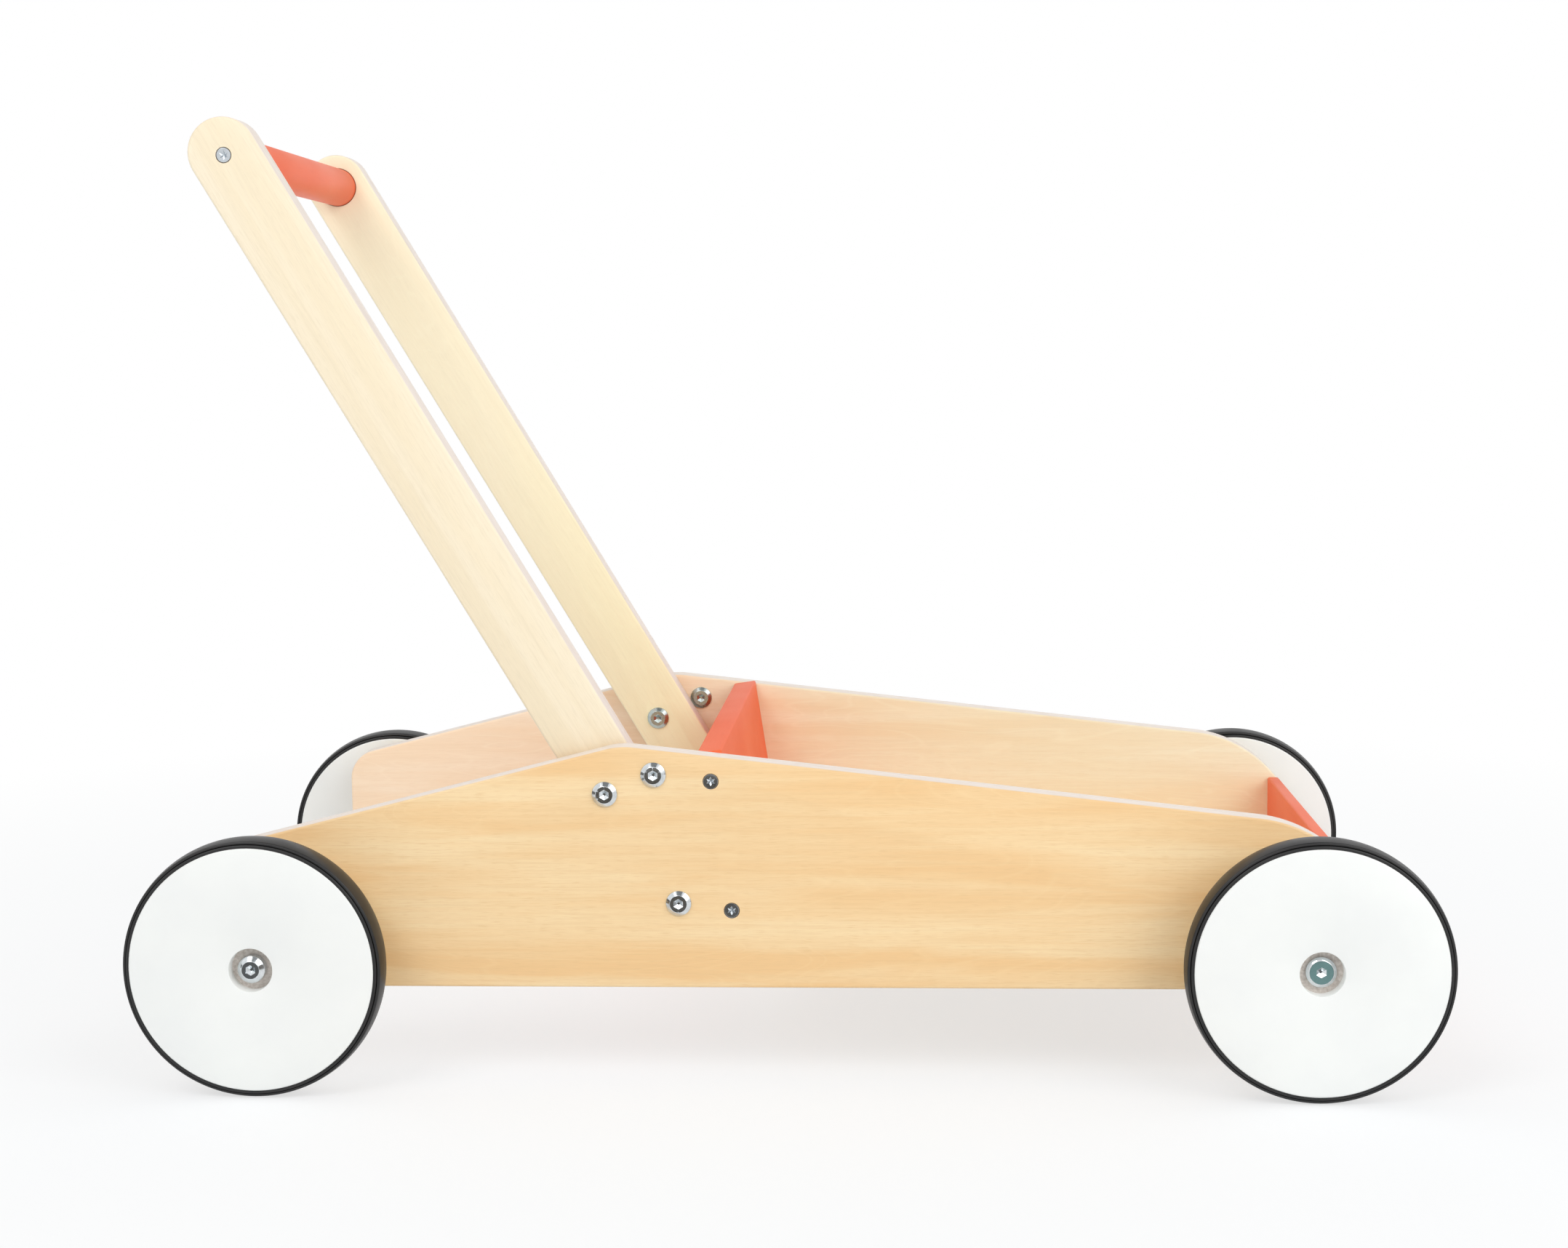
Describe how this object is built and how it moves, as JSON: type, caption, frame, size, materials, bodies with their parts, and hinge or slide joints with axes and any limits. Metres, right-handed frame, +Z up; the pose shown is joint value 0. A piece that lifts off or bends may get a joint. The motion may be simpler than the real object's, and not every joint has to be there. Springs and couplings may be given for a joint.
{
  "type": "baby push walker",
  "caption": "Wooden push walker: plywood side panels carry a toy tray on rubber-tyred wheels, with a push handle that tilts on pivot bolts and locks leaning or steep.",
  "frame": {"origin": "on the ground, under the middle of the walker's length and width", "axes": "+X forward, away from the child, +Y to the left, +Z up"},
  "size_m": [0.601, 0.32, 0.4454],
  "materials": {
    "panel_plywood": "clear satin lacquer on birch plywood",
    "arm_plywood": "clear satin lacquer on pale plywood",
    "orange_paint": "satin orange-red paint on wood",
    "white_paint": "satin white paint on wood",
    "black_rubber": "soft matte rubber",
    "zinc_steel": "bright zinc plate",
    "nylon": "natural nylon"
  },
  "bodies": {
    "chassis": {"right_side_panel": "panel_plywood", "left_side_panel": "panel_plywood", "floor_panel": "panel_plywood", "floor_cleats": "panel_plywood", "back_board": "orange_paint", "front_board": "orange_paint", "back_board_screws": "zinc_steel", "rear_right_axle_bolt": "zinc_steel", "rear_left_axle_bolt": "zinc_steel", "front_right_axle_bolt": "zinc_steel", "front_left_axle_bolt": "zinc_steel", "axle_nuts": "zinc_steel", "wheel_spacers": "nylon", "pivot_sleeve_nuts": "zinc_steel", "pivot_bolts": "zinc_steel", "arm_spacers": "nylon", "lock_sleeve_nuts": "zinc_steel", "spare_sleeve_nuts": "zinc_steel", "spare_bolts": "zinc_steel"},
    "rear_right_wheel": {"rear_right_wheel_disc": "white_paint", "rear_right_tyre": "black_rubber", "rear_right_wheel_bush": "nylon"},
    "rear_left_wheel": {"rear_left_wheel_disc": "white_paint", "rear_left_tyre": "black_rubber", "rear_left_wheel_bush": "nylon"},
    "front_right_wheel": {"front_right_wheel_disc": "white_paint", "front_right_tyre": "black_rubber", "front_right_wheel_bush": "nylon"},
    "front_left_wheel": {"front_left_wheel_disc": "white_paint", "front_left_tyre": "black_rubber", "front_left_wheel_bush": "nylon"},
    "handle": {"right_handle_arm": "arm_plywood", "left_handle_arm": "arm_plywood", "handle_bar": "orange_paint", "handle_bar_screws": "zinc_steel", "lock_bolts": "zinc_steel"}
  },
  "joints": [
    {"name": "rear_right_wheel_spin", "type": "hinge", "parent": "chassis", "child": "rear_right_wheel", "pos_m": [-0.2405, -0.152, 0.06], "axis": [0, 1, 0], "continuous": true},
    {"name": "rear_left_wheel_spin", "type": "hinge", "parent": "chassis", "child": "rear_left_wheel", "pos_m": [-0.2405, 0.152, 0.06], "axis": [0, 1, 0], "continuous": true},
    {"name": "front_right_wheel_spin", "type": "hinge", "parent": "chassis", "child": "front_right_wheel", "pos_m": [0.2405, -0.152, 0.06], "axis": [0, 1, 0], "continuous": true},
    {"name": "front_left_wheel_spin", "type": "hinge", "parent": "chassis", "child": "front_left_wheel", "pos_m": [0.2405, 0.152, 0.06], "axis": [0, 1, 0], "continuous": true},
    {"name": "handle_tilt", "type": "hinge", "parent": "chassis", "child": "handle", "pos_m": [-0.0482, 0, 0.084], "axis": [0, 1, 0], "range_deg": [0, 23]}
  ]
}
